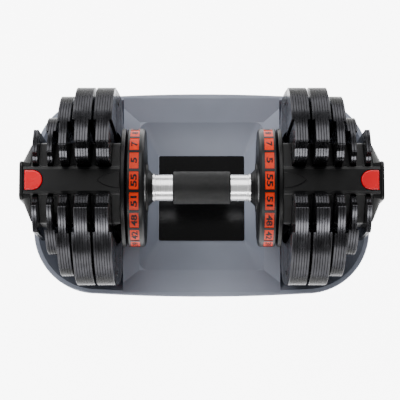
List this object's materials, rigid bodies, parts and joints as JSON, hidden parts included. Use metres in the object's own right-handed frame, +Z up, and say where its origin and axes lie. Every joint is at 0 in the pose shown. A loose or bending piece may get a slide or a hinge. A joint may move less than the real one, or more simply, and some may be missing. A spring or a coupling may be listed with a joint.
{
  "type": "adjustable dumbbell",
  "caption": "Adjustable dumbbell with a twist handle, numbered dials and laminated slotted plates, resting in a moulded tray.",
  "frame": {"origin": "on the ground under the middle of the tray", "axes": "+X along the bar, +Y across the tray, +Z up"},
  "size_m": [0.382, 0.229, 0.218],
  "materials": {
    "plate_steel": "black painted laminated steel",
    "black_moulding": "fine satin black moulding",
    "dial_black": "satin black dial",
    "number_orange": "orange-red number cells",
    "chrome": "polished chrome",
    "grip_rubber": "knurled black rubber",
    "button_red": "red satin button",
    "tray_grey": "grey moulded tray",
    "panel_black": "matt black floor panel",
    "steel": "plain turned steel",
    "foot_rubber": "soft rubber feet",
    "bearing_brass": "sintered bush"
  },
  "bodies": {
    "tray": {"tray_shell": "tray_grey", "tray_panel": "panel_black", "tray_feet": "foot_rubber", "left_cradle": "tray_grey", "right_cradle": "tray_grey"},
    "frame": {"core_bar": "steel", "left_bridge": "black_moulding", "right_bridge": "black_moulding", "left_shaft_bush": "bearing_brass", "right_shaft_bush": "bearing_brass", "left_pointer": "black_moulding", "right_pointer": "black_moulding", "left_end_cap": "black_moulding", "right_end_cap": "black_moulding", "left_end_fascia": "black_moulding", "right_end_fascia": "black_moulding", "left_end_bolt": "steel", "right_end_bolt": "steel", "left_button_spring": "steel", "right_button_spring": "steel"},
    "handle": {"handle_tube": "steel", "grip": "grip_rubber", "left_collar": "chrome", "right_collar": "chrome", "left_hub": "black_moulding", "right_hub": "black_moulding", "left_selector_shaft": "steel", "right_selector_shaft": "steel", "left_dial": "dial_black", "right_dial": "dial_black", "left_number_cells": "number_orange", "right_number_cells": "number_orange", "left_lock_wheel": "steel", "right_lock_wheel": "steel", "left_selector_disc_1": "steel", "right_selector_disc_1": "steel", "left_selector_disc_2": "steel", "right_selector_disc_2": "steel", "left_selector_disc_3": "steel", "right_selector_disc_3": "steel", "left_selector_disc_4": "steel", "right_selector_disc_4": "steel", "left_selector_disc_5": "steel", "right_selector_disc_5": "steel"},
    "left_button": {"left_release_button": "button_red", "left_lock_slider": "steel"},
    "right_button": {"right_release_button": "button_red", "right_lock_slider": "steel"},
    "left_plate_1": {"left_plate_1": "plate_steel"},
    "right_plate_1": {"right_plate_1": "plate_steel"},
    "left_plate_2": {"left_plate_2": "plate_steel"},
    "right_plate_2": {"right_plate_2": "plate_steel"},
    "left_plate_3": {"left_plate_3": "plate_steel"},
    "right_plate_3": {"right_plate_3": "plate_steel"},
    "left_plate_4": {"left_plate_4": "plate_steel"},
    "right_plate_4": {"right_plate_4": "plate_steel"},
    "left_plate_5": {"left_plate_5": "plate_steel"},
    "right_plate_5": {"right_plate_5": "plate_steel"}
  },
  "joints": [
    {"name": "frame_lift", "type": "slide", "parent": "tray", "child": "frame", "axis": [0, 0, 1], "range_m": [0, 0.18]},
    {"name": "handle_turn", "type": "hinge", "parent": "frame", "child": "handle", "pos_m": [0, 0, 0.106], "axis": [-1, 0, 0], "range_deg": [0, 340]},
    {"name": "left_plate_1_lift", "type": "slide", "parent": "tray", "child": "left_plate_1", "axis": [0, 0, 1], "range_m": [0, 0.18]},
    {"name": "right_plate_1_lift", "type": "slide", "parent": "tray", "child": "right_plate_1", "axis": [0, 0, 1], "range_m": [0, 0.18]},
    {"name": "left_plate_2_lift", "type": "slide", "parent": "tray", "child": "left_plate_2", "axis": [0, 0, 1], "range_m": [0, 0.18]},
    {"name": "right_plate_2_lift", "type": "slide", "parent": "tray", "child": "right_plate_2", "axis": [0, 0, 1], "range_m": [0, 0.18]},
    {"name": "left_plate_3_lift", "type": "slide", "parent": "tray", "child": "left_plate_3", "axis": [0, 0, 1], "range_m": [0, 0.18]},
    {"name": "right_plate_3_lift", "type": "slide", "parent": "tray", "child": "right_plate_3", "axis": [0, 0, 1], "range_m": [0, 0.18]},
    {"name": "left_plate_4_lift", "type": "slide", "parent": "tray", "child": "left_plate_4", "axis": [0, 0, 1], "range_m": [0, 0.18]},
    {"name": "right_plate_4_lift", "type": "slide", "parent": "tray", "child": "right_plate_4", "axis": [0, 0, 1], "range_m": [0, 0.18]},
    {"name": "left_plate_5_lift", "type": "slide", "parent": "tray", "child": "left_plate_5", "axis": [0, 0, 1], "range_m": [0, 0.18]},
    {"name": "right_plate_5_lift", "type": "slide", "parent": "tray", "child": "right_plate_5", "axis": [0, 0, 1], "range_m": [0, 0.18]},
    {"name": "left_button_press", "type": "slide", "parent": "frame", "child": "left_button", "axis": [0, 0, -1], "range_m": [0, 0.003], "stiffness_N_per_m": 400, "springref_m": -0.002, "deforming": ["left_button_spring"]},
    {"name": "right_button_press", "type": "slide", "parent": "frame", "child": "right_button", "axis": [0, 0, -1], "range_m": [0, 0.003], "stiffness_N_per_m": 400, "springref_m": -0.002, "deforming": ["right_button_spring"]}
  ],
  "couplings": [
    {"joint": "left_plate_1_lift", "follows": "frame_lift", "ratio": 1},
    {"joint": "right_plate_1_lift", "follows": "frame_lift", "ratio": 1},
    {"joint": "left_plate_2_lift", "follows": "frame_lift", "ratio": 1},
    {"joint": "right_plate_2_lift", "follows": "frame_lift", "ratio": 1},
    {"joint": "left_plate_3_lift", "follows": "frame_lift", "ratio": 1},
    {"joint": "right_plate_3_lift", "follows": "frame_lift", "ratio": 1},
    {"joint": "left_plate_4_lift", "follows": "frame_lift", "ratio": 1},
    {"joint": "right_plate_4_lift", "follows": "frame_lift", "ratio": 1},
    {"joint": "left_plate_5_lift", "follows": "frame_lift", "ratio": 1},
    {"joint": "right_plate_5_lift", "follows": "frame_lift", "ratio": 1}
  ]
}
